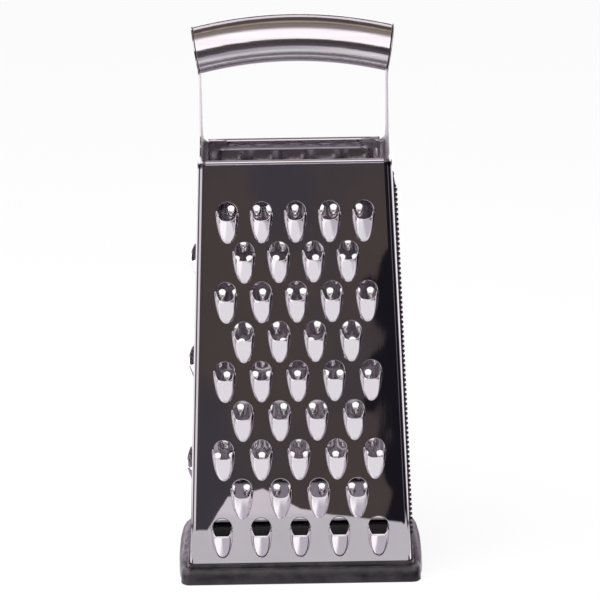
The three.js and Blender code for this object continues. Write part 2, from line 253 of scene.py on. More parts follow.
class GRATER_PG_grip(bpy.types.PropertyGroup):
    """Sizes of the legs and the grip"""
    leg_flare: length("Leg flare", "Height over which the sheet narrows to the leg", 0.0128)
    leg_foot: length("Leg foot", "Width of the leg above its flare", 0.025)
    leg_top: length("Leg top", "Width of the leg below its end plate", 0.016)
    crest: length("Crest", "Top of the grip above the body", 0.0588)
    tall: length("Height", "Height of the oval tube", 0.0204)
    deep: length("Depth", "Depth of the oval tube", 0.023)
    rise: length("Rise", "How far the grip's middle stands above its ends", 0.0049)
    lean: FloatProperty(name="Lean", description="Lean of the end plates",
                        default=math.radians(8.5), subtype="ANGLE")
    wall: length("Wall", "Wall of the tube", 0.0008)
    seat: length("Seat", "From the tube's lower side to the bend of the leg", 0.0008)


class GRATER_PG_ring(bpy.types.PropertyGroup):
    """Sizes of the rubber ring"""
    seat: length("Seat", "Height of the groove's floor", 0.0027)
    groove: length("Groove", "Reach of the groove into the body", 0.0018)
    inner_lip: length("Inner lip", "Width of the lip inside the body", 0.0010)
    inner_height: length("Inner height", "Height of the lip inside the body", 0.0047)
    wall: length("Wall", "How far the ring stands out of the body", 0.0037)
    band: length("Band", "Height of the ring's ledge", 0.008)
    lip_top: length("Lip top", "Height of the upper edge", 0.0087)
    lip_width: length("Lip width", "Width of the upper edge", 0.0009)
    edge: length("Edge", "Bevel of the outer edges", 0.0007)
    flap_top: length("Flap top", "Height of the flaps on the narrow sides", 0.0165)
    bulge: length("Bulge", "How far a flap stands out of the body", 0.0054)
    bulge_height: length("Bulge height", "Height of a flap's widest place", 0.005)


class GRATER_PG_finish(bpy.types.PropertyGroup):
    """Colours of the finishes"""
    polished: colour("Polished steel", "Colour of the mirror-polished sheets", (0.66, 0.63, 0.66))
    # Painted reflection: the pushed-out teeth get this brighter copy of the polished steel, so that they look
    # white
    teeth_painted_bright: colour("Stretched steel", "Teeth that the punch has drawn bright", (0.98, 0.95, 0.98))
    # Colour of the torn spikes, also used as painted shade in the corner gaps beside the hems, on the upper
    # rims of the lowest coarse holes and on the unlit folds beside the front hems
    torn_and_shade: colour("Torn steel", "Colour of the rough torn spikes", (0.060, 0.048, 0.066))
    brushed: colour("Brushed steel", "Colour of the grip", (0.80, 0.765, 0.78))
    rubber: colour("Rubber", "Colour of the foot ring", (0.010, 0.0085, 0.010))
    worn_rubber: colour("Worn rubber", "Dusty patches of the foot ring", (0.030, 0.025, 0.030))
    # Dust and painted sheen: a mottled lighter colour on the flaps, lighter as if they caught the white room
    # at a grazing angle
    dust_and_sheen_rubber: colour("Dusty rubber", "Dust that settles on the flaps", (0.15, 0.125, 0.155))


class GRATER_PG_studio(bpy.types.PropertyGroup):
    """Colours and sizes of the studio"""
    plate_front: length("Plate front", "How far the white plate reaches in front of the grater", 0.135)
    floor_size: length("Floor size", "Half width of the floor", 3.0)
    plate_side: length("Plate side", "How far the white plate reaches to either side", 0.14)
    near: length("Near", "Reach of the plate that lies in the grater's own shade", 0.058)
    plate: colour("Plate", "White plate under the grater", (0.74, 0.72, 0.75))
    rim: colour("Plate rim", "Brighter front edge of the plate", (0.88, 0.83, 0.87))
    dim: colour("Dim plate", "Plate behind the grater", (0.30, 0.27, 0.31))
    far_plate: colour("Far plate", "Plate far behind the grater", (0.52, 0.48, 0.53))
    shade: colour("Shade", "Plate in the grater's own shade", (0.46, 0.43, 0.475))
    dark: colour("Dark room", "Unlit room in front of the grater", (0.092, 0.074, 0.070))
    cool: colour("Cool room", "Cooler parts of the unlit room", (0.068, 0.062, 0.074))
    black: colour("Doorway", "Black doorway of the room", (0.014, 0.013, 0.018))
    ceiling: colour("Ceiling", "Unlit ceiling", (0.10, 0.075, 0.075))
    white: colour("White", "White panels of the room", (1.0, 0.97, 1.0))
    grey_line: colour("Grey line", "Upright grey line on the right of the dark room", (0.17, 0.15, 0.18))
    low_room: colour("Low room", "Lower part of the dark room", (0.100, 0.080, 0.102))
    side: colour("Side", "Grey sides of the room", (0.40, 0.38, 0.41))
    tan_line: colour("Tan line", "Tan line across the ceiling", (0.46, 0.40, 0.30))
    inner: colour("Inner strip", "Lit strip of the plate under the body", (0.98, 0.96, 0.98))
    lit_floor: colour("Lit floor", "Floor that takes the grater's shadow", (0.94, 0.91, 0.95))
    beam: colour("Beam", "Ceiling close to the softbox", (0.28, 0.235, 0.22))
    softbox: FloatProperty(name="Softbox", description="Brightness of the softbox", default=1.35)
    lamp: FloatProperty(name="Lamp", description="Power of the lamp above", default=20.0, unit="POWER")


Face = namedtuple("Face", "half offset bend lip press")
Lattice = namedtuple("Lattice", "rows shifts reach pitch crest sag wave across up")
Tooth = namedtuple("Tooth", "hole_half hole_rise hole_drop foot_half foot_rise foot_drop lip rounding "
                            "petals rim flank square", defaults=(0, 0, 0, 1))


def lerp(start, end, part):
    """The value that lies the given part of the way from start to end."""
    return start + (end - start) * part


def half_width(body, z):
    """Half the body's width at a height: it shrinks in a straight line from the table to the top."""
    return lerp(body.foot_width, body.top_width, z / body.height) / 2


def half_depth(body, z):
    """Half the body's depth at a height: it shrinks in a straight line from the table to the top."""
    return lerp(body.foot_depth, body.top_depth, z / body.height) / 2


def wide_face(body):
    """The front or back sheet: how wide it is and how far out it lies at each height, and its bends."""
    return Face(lambda z: half_width(body, z), lambda z: half_depth(body, z),
                body.wrap_radius, body.wrap_lip, lambda x, z: 0.0)


def narrow_face(body, press=lambda x, z: 0.0):
    """A side sheet, which lies one sheet and a gap inside the front and back sheets."""
    stack = body.sheet + body.fit_gap
    return Face(lambda z: half_depth(body, z) - stack, lambda z: half_width(body, z) - stack,
                body.flange_radius, body.flange_length, press)


def eased(value):
    """A step from 0 to 1 with level ends."""
    part = np.clip(value, 0, 1)
    return part * part * (3 - 2 * part)


def grid_quads(rows, columns, closed=False):
    """Quads of a grid stored row by row; a closed grid joins its last column to its first."""
    row = np.arange(rows - 1)[:, None]
    column = np.arange(columns if closed else columns - 1)[None, :]
    beside = (column + 1) % columns
    lower, upper = row * columns, (row + 1) * columns
    corners = np.broadcast_arrays(lower + column, lower + beside, upper + beside, upper + column)
    return np.stack(corners, axis=-1).reshape(-1, 4)


def surface(points, closed=False):
    """A grid of points together with its quads."""
    rows, columns = points.shape[:2]
    return points.reshape(-1, 3), grid_quads(rows, columns, closed)


def joined(surfaces):
    """Several surfaces as one list of points and one of quads."""
    starts = np.cumsum([0] + [len(points) for points, _ in surfaces[:-1]])
    points = np.concatenate([points for points, _ in surfaces])
    quads = np.concatenate([quads + start for (_, quads), start in zip(surfaces, starts)])
    return points, quads


def on_face(face, x, z, out=0.0):
    """Points of a leaning face that looks along -Y, from x, the height z and the height out of the face."""
    x, z, out = np.broadcast_arrays(x, z, out)
    return np.stack([x, -(face.offset(z) + face.press(x, z) + out), z], axis=-1)


def turned(surfaces, quarter):
    """Surfaces turned about the upright axis by quarter turns."""
    angle = quarter * math.pi / 2
    cosine, sine = math.cos(angle), math.sin(angle)
    spin = np.array([[cosine, -sine, 0], [sine, cosine, 0], [0, 0, 1]])
    return [(points @ spin.T, quads) for points, quads in surfaces]


def row_wave(lattice, row, u):
    """Height of the wavy border between rows: a cosine that is highest above each tooth of the row."""
    return lattice.wave * np.cos(2 * np.pi * (u - lattice.shifts[row]))


def row_top(lattice, row, u):
    """Upper border of a row of cells."""
    return lattice.rows[row] + lattice.crest + row_wave(lattice, row, u)


def row_bottom(lattice, row, u):
    """Lower border of a row of cells, which is the upper border of the next one."""
    return lattice.rows[row] - lattice.sag - row_wave(lattice, row, u)


def row_is_full(lattice, row):
    """Whether the row's outermost cell ends at the lattice's edge."""
    return (lattice.reach - 0.5 - lattice.shifts[row]) % 1 == 0


def tooth_places(lattice):
    """Columns and heights of all teeth, row by row."""
    columns, heights = [], []
    for row, height in enumerate(lattice.rows):
        last = lattice.reach - (0.5 if row_is_full(lattice, row) else 1.0)
        row_columns = np.arange(-last, last + 0.25)
        columns.append(row_columns)
        heights.append(np.full(len(row_columns), height))
    return np.concatenate(columns), np.concatenate(heights)


def broad_tongue(tooth, x, z, sine):
    """Height of a broad tongue over its sheet, at places measured from the hole's middle.

    It is the lower of two slopes, rounded where they meet: a straight ramp from the cutting edge to the tip,
    which sinks a little towards its sides, and a steep flank that rises with the distance from the footprint.
    """
    across = x / tooth.foot_half
    inside = np.maximum(1 - across ** 2 - (z / tooth.foot_drop) ** 2, 0)
    flank = tooth.flank * inside / (2 * np.hypot(x / tooth.foot_half ** 2, z / tooth.foot_drop ** 2))
    fall = np.clip((tooth.foot_drop + z) / (tooth.foot_drop - tooth.hole_drop), 0, 1)
    ramp = tooth.lip * (1 - BROAD_SINK * across ** 2) * fall
    return eased(-sine / BROAD_RISE) * ramp * flank / np.maximum(ramp ** 4 + flank ** 4, TINY) ** 0.25


def tooth_cells(face, lattice, tooth, ramp, flats, dent):
    """Cells of all teeth: rings from each hole's edge to its cell's border, each clockwise from the top.

    A ring between the hole's edge and the tooth's footprint lies on straight rulings between the two ovals.
    Its height is the lip's height times one minus the ramp's part along the ruling, steeper at the foot.
    The rings past the footprint lie on rulings to the border, on a sheet that the punch has dented a little.
    """
    half = 2 * lattice.across + lattice.up
    step = np.arange(2 * half)
    turn = np.pi / 2 - np.pi * step / half
    cosine, sine = np.cos(turn), np.sin(turn)
    lower = sine < 0
    squared = [np.where(lower, np.sign(part) * np.abs(part) ** tooth.square, part) for part in (cosine, sine)]
    hole = np.stack([tooth.hole_half * squared[0],
                     np.where(lower, tooth.hole_drop, tooth.hole_rise) * squared[1]])
    foot = np.stack([tooth.foot_half * cosine, np.where(lower, tooth.foot_drop, tooth.foot_rise) * sine])
    lip = tooth.lip * np.maximum(-sine, 0) ** tooth.rounding
    if tooth.petals:
        lip = tooth.lip * (1 + tooth.petals * np.cos(4 * turn))
    part = ramp[:, None]
    rulings = hole[:, None] + (foot - hole)[:, None] * part
    rim_part = part * (tooth.foot_rise - tooth.hole_rise) / max(tooth.rim, TINY)
    inset = np.minimum(np.where(lower, 1, rim_part), 1)
    rise = lip * (1 - PLAIN_FALL * part - (1 - PLAIN_FALL) * part ** 2)
    if tooth.flank:
        rise = broad_tongue(tooth, rulings[0], np.minimum(rulings[1], 0), sine)
    rise = rise - tooth.rim * (1 - np.sqrt(1 - (1 - inset) ** 2))
    across, up = lattice.across, lattice.up
    knots = np.cumsum([0, across, up, across, across, up, across])
    v = np.interp(step, knots, [0, 0.5, 0.5, 0, -0.5, -0.5, 0])
    upper = np.interp(step, knots, [1, 1, 0, 0, 0, 1, 1])
    wave = lattice.wave * np.cos(2 * np.pi * v)
    border = lerp(-lattice.sag - wave, lattice.crest + wave, upper)
    column, height = (place[:, None, None] for place in tooth_places(lattice))
    middle = column * lattice.pitch(height)
    x, z = middle + rulings[0], height + rulings[1]
    out = np.broadcast_to(rise - dent, x.shape)
    border_z = height + border
    border_x = (column + v) * lattice.pitch(border_z)
    away = flats[:, None]
    flat_x = lerp(x[:, -1:], border_x, away)
    flat_z = lerp(z[:, -1:], border_z, away)
    flat_out = np.broadcast_to(-dent * (1 - away) ** 2, flat_x.shape)
    points = on_face(face, np.concatenate([x, flat_x], 1), np.concatenate([z, flat_z], 1),
                     np.concatenate([out, flat_out], 1))
    cells, rings, around = points.shape[:3]
    quads = grid_quads(rings, around, closed=True)
    starts = np.arange(cells)[:, None, None] * rings * around
    return points.reshape(-1, 3), (quads[None] + starts).reshape(-1, 4)


def blank_cells(face, lattice):
    """Half cells without a tooth at both ends of each row that isn't full."""
    part = np.linspace(0, 1, lattice.up + 1)[:, None]
    made = []
    for row in range(len(lattice.rows)):
        if row_is_full(lattice, row):
            continue
        for u in (np.linspace(-lattice.reach, 0.5 - lattice.reach, lattice.across + 1),
                  np.linspace(lattice.reach - 0.5, lattice.reach, lattice.across + 1)):
            z = lerp(row_bottom(lattice, row, u), row_top(lattice, row, u), part)
            made.append(surface(on_face(face, u * lattice.pitch(z), z)))
    return made


def lattice_columns(lattice):
    """Columns of the points along the border of a row."""
    return np.linspace(-lattice.reach, lattice.reach, int(4 * lattice.reach * lattice.across) + 1)


def end_strips(face, lattice, foot, top, steps):
    """Plain strips below the last and above the first row, from the wavy border to a level edge."""
    u = lattice_columns(lattice)
    lowest = len(lattice.rows) - 1
    below = lerp(foot, row_bottom(lattice, lowest, u), np.linspace(0, 1, steps + 1)[:, None])
    above = lerp(row_top(lattice, 0, u), top, STRIP_ROWS[:, None])
    return [surface(on_face(face, u * lattice.pitch(z), z)) for z in (below, above)]


def margin_heights(lattice, foot, top, steps):
    """Heights of all points along the lattice's upright edges, from the foot up."""
    edge = lattice.reach
    heights = [np.linspace(foot, row_bottom(lattice, len(lattice.rows) - 1, edge), steps + 1)]
    for row in reversed(range(len(lattice.rows))):
        levels = np.linspace(row_bottom(lattice, row, edge), row_top(lattice, row, edge), lattice.up + 1)
        heights.append(levels[1:])
    heights.append(lerp(row_top(lattice, 0, edge), top, STRIP_ROWS[1:]))
    return np.concatenate(heights)


def folded(face, s, z):
    """Points of a folded sheet by the distance s along it: flat, then a quarter-circle bend, then a lip."""
    flat = face.half(z) - face.bend
    past = np.maximum(np.abs(s) - flat, 0)
    turn = np.minimum(past / face.bend, np.pi / 2)
    x = np.sign(s) * (np.minimum(np.abs(s), flat) + face.bend * np.sin(turn))
    back = face.bend * (1 - np.cos(turn)) + np.maximum(past - face.bend * np.pi / 2, 0)
    return on_face(face, x, z, -back)


def fold_columns(face, start, z, flat_steps=3, bend_steps=8):
    """Distances along a folded sheet from the lattice's edge to the sheet's edge."""
    flat = face.half(z) - face.bend
    bend = face.bend * np.pi / 2
    part, turn = np.linspace(0, 1, flat_steps + 1), np.linspace(0, 1, bend_steps + 1)[1:]
    edge = flat + bend + face.lip + 0 * start
    return np.concatenate([lerp(start, flat, part), flat + bend * turn, edge], -1)


def folded_margins(face, lattice, foot, top, steps, notch=0.0):
    """Upright strips from the lattice to the sheet's edges, cut down at the top corners by a notch."""
    z = margin_heights(lattice, foot, top, steps)[:, None]
    s = fold_columns(face, lattice.reach * lattice.pitch(z), z)
    highest = row_top(lattice, 0, lattice.reach)
    soft = 0.3 * face.bend
    cut = notch * eased((s - face.half(z) + face.bend) / soft)
    z = z - cut * np.clip((z - highest) / (top - highest), 0, 1)
    right = folded(face, s, z)
    left = right[:, ::-1] * np.array([-1, 1, 1])
    return [surface(right), surface(left)]


def punched_sheet(face, lattice, tooth, foot, top, ramp, flats, dent=0.0, notch=0.0, steps=3):
    """A folded sheet with all its teeth, as surfaces that share their border points."""
    cells = tooth_cells(face, lattice, tooth, np.array(ramp), np.array(flats), dent)
    return [cells, *blank_cells(face, lattice), *end_strips(face, lattice, foot, top, steps),
            *folded_margins(face, lattice, foot, top, steps, notch)]


def rolled_hem(body, roll=math.radians(237), steps=16, columns=9):
    """The hem of a front or back sheet: an arc over the top edge and a straight lip, carried along x."""
    axis_y = body.hem_radius - body.hem_proud - body.top_depth / 2
    axis_z = body.height - body.hem_radius
    turn = np.linspace(roll, 0, steps + 1)
    drop = np.array([0.25, 1.0]) * body.hem_lip
    y = np.concatenate([axis_y + body.hem_radius * np.cos(turn), np.full(2, axis_y + body.hem_radius)])
    z = np.concatenate([axis_z + body.hem_radius * np.sin(turn), axis_z - drop])
    end = body.top_width / 2 - body.hem_corner_gap
    x = np.linspace(-end, end, columns)[None, :]
    return surface(np.stack(np.broadcast_arrays(x, y[:, None], z[:, None]), axis=-1))


def tapered(top, foot, height):
    """A pitch that grows in a straight line from the top to the table."""
    return lambda z: lerp(foot, top, z / height)


def staggered(first_row, row_pitch, count):
    """Heights of the rows from the top down, and their shifts by half a pitch in every other one."""
    row = np.arange(count)
    return first_row - row_pitch * row, row % 2 * 0.5


def coarse_sheet(body, teeth):
    """Front sheet: nine staggered rows of coarse teeth, five and four in turn."""
    rows, shifts = staggered(teeth.first_row, teeth.row_pitch, COARSE_ROWS)
    lattice = Lattice(rows, shifts, reach=2.5, pitch=tapered(teeth.top_pitch, teeth.foot_pitch, body.height),
                      crest=0.23 * teeth.row_pitch, sag=0.77 * teeth.row_pitch, wave=0.0015, across=8, up=8)
    radius = teeth.hole / 2
    tooth = Tooth(radius, radius, teeth.drop, teeth.foot_half, radius + teeth.rim_reach, teeth.tongue,
                  teeth.lip, rounding=0.55, rim=teeth.rim, flank=teeth.flank, square=0.85)
    return punched_sheet(wide_face(body), lattice, tooth, body.sheet_foot, body.height - body.hem_radius,
                         ramp=(0, 0.05, 0.12, 0.25, 0.4, 0.55, 0.7, 0.82, 0.9, 0.96, 1),
                         flats=(0.08, 0.3, 0.6, 1), notch=body.corner_notch)


def medium_sheet(body, teeth):
    """Back sheet: twenty staggered rows of medium teeth."""
    rows, shifts = staggered(teeth.first_row, teeth.row_pitch, MEDIUM_ROWS)
    lattice = Lattice(rows, shifts, reach=6.0, pitch=tapered(teeth.top_pitch, teeth.foot_pitch, body.height),
                      crest=0.31 * teeth.row_pitch, sag=0.69 * teeth.row_pitch, wave=0.0003, across=3, up=2)
    radius = teeth.hole / 2
    tooth = Tooth(radius, radius, radius, teeth.foot_half, teeth.foot_half, teeth.tongue, teeth.lip,
                  rounding=0.6)
    return punched_sheet(wide_face(body), lattice, tooth, body.sheet_foot, body.height - body.hem_radius,
                         ramp=(0, 0.5, 1), flats=(0.1, 1), notch=body.corner_notch)


def slicing_sheet(body, blade):
    """Left sheet: three wide slicing blades, one above the other."""
    rows = blade.first_row - blade.row_pitch * np.arange(BLADES)
    face = narrow_face(body)
    lattice = Lattice(rows, np.zeros(BLADES), reach=0.5,
                      pitch=lambda z: 2 * (face.half(z) - face.bend) - blade.margin,
                      crest=0.35 * blade.row_pitch, sag=0.65 * blade.row_pitch, wave=0.0, across=14, up=8)
    tooth = Tooth(blade.slot / 2, blade.slot_rise, blade.slot_drop, blade.foot_half, blade.foot_rise,
                  blade.tongue, blade.lip, rounding=0.55)
    sheet = punched_sheet(face, lattice, tooth, body.sheet_foot, leg_start(body),
                          ramp=(0, 0.05, 0.15, 0.3, 0.45, 0.6, 0.75, 0.87, 0.95, 1),
                          flats=(0.05, 0.2, 0.5, 1), dent=blade.dent)
    return face, lattice, sheet


def fine_sheet(body, spike):
    """Right sheet: staggered rows of small torn spikes on a field that is dished within a sloping edge."""
    count = int((spike.first_row - spike.last_row) / spike.row_pitch) + 1
    rows, shifts = staggered(spike.first_row, spike.row_pitch, count)
    slope = spike.press_edge
    low, high = spike.last_row - slope, spike.first_row + slope

    def press(x, z):
        upright = eased((z - low) / slope) * eased((high - z) / slope)
        across = eased((half_depth(body, z) - body.flange_radius - 2 * body.sheet - np.abs(x)) / slope)
        return spike.press * upright * across

    face = narrow_face(body, press)
    lattice = Lattice(rows, shifts, reach=4.0, pitch=tapered(spike.top_pitch, spike.foot_pitch, body.height),
                      crest=spike.row_pitch / 2, sag=spike.row_pitch / 2, wave=0.0005, across=1, up=2)
    mouth = spike.mouth / 2
    tooth = Tooth(mouth, mouth, mouth, spike.foot_half, spike.foot_half, spike.foot_half, spike.lip,
                  rounding=1.0, petals=0.1)
    sheet = punched_sheet(face, lattice, tooth, body.sheet_foot, leg_start(body),
                          ramp=(0, 0.5, 1), flats=(1,))
    return face, lattice, sheet


def leg_start(body):
    """Height where the side sheets' flanges end, inside the hems."""
    return body.height - 2 * body.hem_radius


def grip_end(body, grip):
    """Height of the grip's axis at its ends, and the height where the legs begin to lean."""
    axis = body.height + grip.crest - grip.tall / 2 - grip.rise
    return axis, axis - grip.tall / 2 - grip.seat


def leg_outline(body, grip, start_half, flare_start, flare_steps=12, taper_steps=11, plate_steps=24):
    """Half widths and heights along a leg: a flared foot, a straight taper and the oval end plate."""
    flange_top = leg_start(body) + body.fit_gap
    flare = np.linspace(0, 1, flare_steps + 1)
    axis, _ = grip_end(body, grip)
    plate_half, plate_tall = grip.deep / 2, grip.tall / 2 * math.cos(grip.lean)
    joint = -math.acos(grip.leg_top / grip.deep)
    turn = np.linspace(joint, math.pi / 2, plate_steps + 1)
    oval_half, oval_z = plate_half * np.cos(turn), axis + plate_tall * np.sin(turn)
    foot_half = grip.leg_foot / 2
    taper = np.linspace(0, 1, taper_steps + 1)[1:-1]
    flare_half = foot_half + (flare_start - foot_half) * (1 - flare) ** 2
    flare_z = flange_top + grip.leg_flare * flare ** 0.8
    half = np.concatenate([[start_half], flare_half, lerp(foot_half, oval_half[0], taper), oval_half])
    z = np.concatenate([[leg_start(body)], flare_z, lerp(flare_z[-1], oval_z[0], taper), oval_z])
    return half, z


def leg(body, grip, face, lattice):
    """Leg above a side sheet: its columns drawn in to the leg's outline, upright, then leaning out."""
    start = leg_start(body)
    columns = lattice_columns(lattice) * lattice.pitch(start)
    margin = fold_columns(face, columns[-1:], start)[1:]
    columns = np.concatenate([-margin[::-1], columns, margin])
    half, z = leg_outline(body, grip, columns[-1], columns[-2])
    _, lean_start = grip_end(body, grip)
    points = folded(face, columns / columns[-1] * half[:, None], z[:, None])
    straight = face.offset(np.minimum(z, body.height)) + math.tan(grip.lean) * np.maximum(z - lean_start, 0)
    points[:, :, 1] += (face.offset(z) - straight)[:, None]
    return surface(points)


def grip_skin(body, grip, steps=56, around=64):
    """Arched oval tube: an oval whose axis follows a parabola and which leans with it towards the ends."""
    axis, lean_start = grip_end(body, grip)
    stack = body.sheet + body.fit_gap
    end = half_width(body, body.height) - 2 * stack + math.tan(grip.lean) * (axis - lean_start)
    part = np.linspace(-1, 1, steps + 1)[:, None]
    turn = np.linspace(0, 2 * np.pi, around, endpoint=False)[None, :]
    lean = grip.lean * part
    rise = grip.tall / 2 * np.sin(turn)
    x = end * part + rise * np.sin(lean)
    y = grip.deep / 2 * np.cos(turn) + 0 * part
    z = axis + grip.rise * (1 - part ** 2) + rise * np.cos(lean)
    return surface(np.stack([x, y, z], axis=-1), closed=True)


def ring_stations(body, corner_steps=10, side_steps=40):
    """Stations round the ring, quarter by quarter: a corner's turn, then a straight side's part."""
    turn = np.concatenate([np.arange(corner_steps) / corner_steps, np.ones(side_steps)])
    along = np.concatenate([np.zeros(corner_steps), np.arange(side_steps) / side_steps])
    quarter = np.repeat(np.arange(4), corner_steps + side_steps)
    clear = (body.wrap_radius + body.wrap_lip + body.fit_gap) / body.foot_depth
    turn, along = np.tile(turn, 4), np.tile(along, 4)
    on_flap = (quarter % 2 == 0) & (turn == 1)
    part = np.clip((along - clear) / (1 - 2 * clear), 0, 1)
    flap = np.where(on_flap, np.sin(np.pi * part) ** FLAP_ROUND, 0)
    return quarter, turn, along, flap


def ring_section(body, ring, flap):
    """The ring's section as distances from the body and heights; a flap stands up by a part of its height.

    Off the flaps the outside is a lip, a ledge and a bevelled wall; on them it is a quarter of an oval.
    """
    flap = flap[:, None]
    stack = body.sheet + body.fit_gap
    gap = body.fit_gap
    wall_face = gap - stack * np.minimum(1, FLAP_LEAN * flap[:, 0])
    lip = gap + ring.lip_width
    band_d = lerp(lip, ring.wall, BAND_OUT)
    band_z = np.append(ring.lip_top, ring.band - ring.edge * BAND_DROP)
    fall = np.linspace(0, 1, len(BAND_OUT))
    crest = lip - stack
    flap_d = crest + (ring.bulge - crest) * np.sin(fall * np.pi / 2)
    flap_z = lerp(ring.bulge_height, ring.flap_top, np.cos(fall * np.pi / 2))
    below_d = np.array([ring.wall, ring.wall - ring.edge])
    below_z = np.array([ring.edge, 0])
    outside_d = np.concatenate([lerp(band_d, flap_d, flap), below_d + flap * (ring.bulge - ring.wall)], 1)
    outside_z = np.concatenate([lerp(band_z, flap_z, flap), below_z + 0 * flap], 1)
    inner = -ring.groove - ring.inner_lip
    rest = 0 * flap
    inside_d = np.concatenate([rest + inner, rest + inner, rest - ring.groove, rest - ring.groove,
                               wall_face[:, None], wall_face[:, None]], 1)
    top = lerp(ring.lip_top, ring.flap_top, flap)
    inside_z = np.concatenate([rest, rest + ring.inner_height, rest + ring.inner_height, rest + ring.seat,
                               rest + ring.seat, top], 1)
    return np.concatenate([inside_d, outside_d], 1), np.concatenate([inside_z, outside_z], 1)


def foot_ring(body, ring):
    """Rubber ring: its section carried once round the body's rounded outline."""
    quarter, turn, along, flap = ring_stations(body)
    distance, z = ring_section(body, ring, flap)
    radius = np.maximum(body.wrap_radius + np.minimum(distance, CORNER_SWELL * distance), body.sheet)
    corner_x = half_width(body, z) + distance - radius
    corner_y = half_depth(body, z) + distance - radius
    sign_x, sign_y = np.array([1, 1, -1, -1]), np.array([-1, 1, 1, -1])
    after = (quarter + 1) % 4
    side_x = lerp(sign_x[quarter], sign_x[after], along)[:, None]
    side_y = lerp(sign_y[quarter], sign_y[after], along)[:, None]
    angle = ((quarter - 1 + turn) * np.pi / 2)[:, None]
    x = side_x * corner_x + radius * np.cos(angle)
    y = side_y * corner_y + radius * np.sin(angle)
    points = np.stack([x, y, z], axis=-1)
    closed = np.concatenate([points, points[:1]], 0)
    return surface(closed, closed=True)


def pushed_out(body, face, surfaces):
    """How far each point is pushed out of a sheet that looks along -Y, up to 1 from its thickness on."""
    x, y, z = joined(surfaces)[0].T
    out = -y - face.offset(z) - face.press(x, z)
    return np.where(z < body.height - 2 * body.hem_radius, np.clip(out / body.sheet, 0, 1), 0)


def shaded_corner_gaps(body, face, surfaces):
    """One where shade is painted in the small gaps of a wide sheet's corners beside the hem's ends, and
    otherwise nought.
    """
    x, _, z = joined(surfaces)[0].T
    start, soft = 1.1 * face.bend, 0.3 * face.bend
    depth, fade = 3 * body.hem_radius, 0.5 * body.hem_radius
    aside = np.clip((np.abs(x) - face.half(z) + start) / soft, 0, 1)
    high = np.clip((z - body.height + depth) / fade, 0, 1)
    return aside * high


def shaded_hole_rims(body, teeth, surfaces):
    """One where shade is painted on the upper rims of the lowest coarse holes, and otherwise nought."""
    x, _, z = joined(surfaces)[0].T
    height = teeth.first_row - (COARSE_ROWS - 1) * teeth.row_pitch
    pitch = lerp(teeth.foot_pitch, teeth.top_pitch, height / body.height)
    away = np.hypot(x - np.round(x / pitch) * pitch, z - height)
    rim = teeth.hole / 2 + 0.6 * teeth.rim_reach
    return ((away < rim) & (z > height)).astype(float)


def folded_back(body, face, surfaces, front):
    """One where shade is painted on the unlit bend and flange beside the front hem, and otherwise nought;
    front is a sign.
    """
    x, y, z = joined(surfaces)[0].T
    reach, start = 1.5 * body.hem_radius, 1.2 * face.bend
    behind = y + face.offset(np.minimum(z, body.height))
    beside = (np.abs(z - leg_start(body)) < reach) & (x * front > face.half(z) - start)
    return np.where(beside, np.clip(behind / body.fit_gap - 1, 0, 1), 0)


def make_piece(name, surfaces, material, node, wall=0.0, bevel=0.0, punched=0.0, torn_and_shade=0.0):
    """A welded piece in place of a CAD node, with a wall of sheet metal inwards and softened edges.

    The attributes, from 0 to 1, tell the finish where the pushed-out teeth get a painted reflection that
    makes them brighter, and where the steel is torn dark or painted dark as shade in gaps, on rims and in
    folds.
    """
    points, quads = joined(surfaces)
    mesh = bpy.data.meshes.new(name)
    mesh.from_pydata(points.tolist(), [], quads.tolist())
    for attribute, pushed in (("punched", punched), ("torn_and_shade", torn_and_shade)):
        values = np.broadcast_to(pushed, len(points)).astype(np.float32)
        mesh.attributes.new(attribute, "FLOAT", "POINT").data.foreach_set("value", values)
    welded = bmesh.new()
    welded.from_mesh(mesh)
    bmesh.ops.remove_doubles(welded, verts=welded.verts, dist=WELD)
    welded.to_mesh(mesh)
    welded.free()
    mesh.shade_smooth()
    mesh.materials.append(material)
    piece = bpy.data.objects.new(name, mesh)
    bpy.context.scene.collection.objects.link(piece)
    if wall:
        solid = piece.modifiers.new("wall", "SOLIDIFY")
        solid.thickness = wall
        solid.offset = -1
    if bevel:
        soft = piece.modifiers.new("soft_edges", "BEVEL")
        soft.width = bevel
        soft.segments = 2
        soft.limit_method = "ANGLE"
        soft.angle_limit = SHARP_ANGLE
        soft.use_clamp_overlap = False
        soft.harden_normals = True
    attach(piece, "root")
    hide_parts(node)
    return piece


def add_node(tree, kind, inputs=None, **settings):
    """A node with its settings, each input set to a value or linked to a socket."""
    made = tree.nodes.new(kind)
    for key, value in settings.items():
        setattr(made, key, value)
    for key, value in (inputs or {}).items():
        if isinstance(value, bpy.types.NodeSocket):
            tree.links.new(value, made.inputs[key])
        else:
            made.inputs[key].default_value = value
    return made


def new_material(name):
    """An empty node material with its shader and the object's coordinates."""
    material = bpy.data.materials.new(name)
    material.use_nodes = True
    tree = material.node_tree
    tree.nodes.clear()
    shader = add_node(tree, "ShaderNodeBsdfPrincipled")
    output = add_node(tree, "ShaderNodeOutputMaterial")
    tree.links.new(shader.outputs["BSDF"], output.inputs["Surface"])
    place = add_node(tree, "ShaderNodeTexCoord").outputs["Object"]
    return material, tree, shader, place


def noise(tree, place, scale, detail=2.0, stretch=(1, 1, 1)):
    """Soft noise on a stretched copy of the coordinates."""
    mapped = add_node(tree, "ShaderNodeMapping", {"Vector": place, "Scale": stretch}).outputs["Vector"]
    made = add_node(tree, "ShaderNodeTexNoise", {"Vector": mapped, "Scale": scale, "Detail": detail})
    return made.outputs["Fac"]


def spread(tree, value, low, high, start=0.3, end=0.7):
    """The value between start and end, spread from low to high."""
    made = add_node(tree, "ShaderNodeMapRange", {"Value": value, "From Min": start, "From Max": end,
                                                 "To Min": low, "To Max": high})
    return made.outputs["Result"]


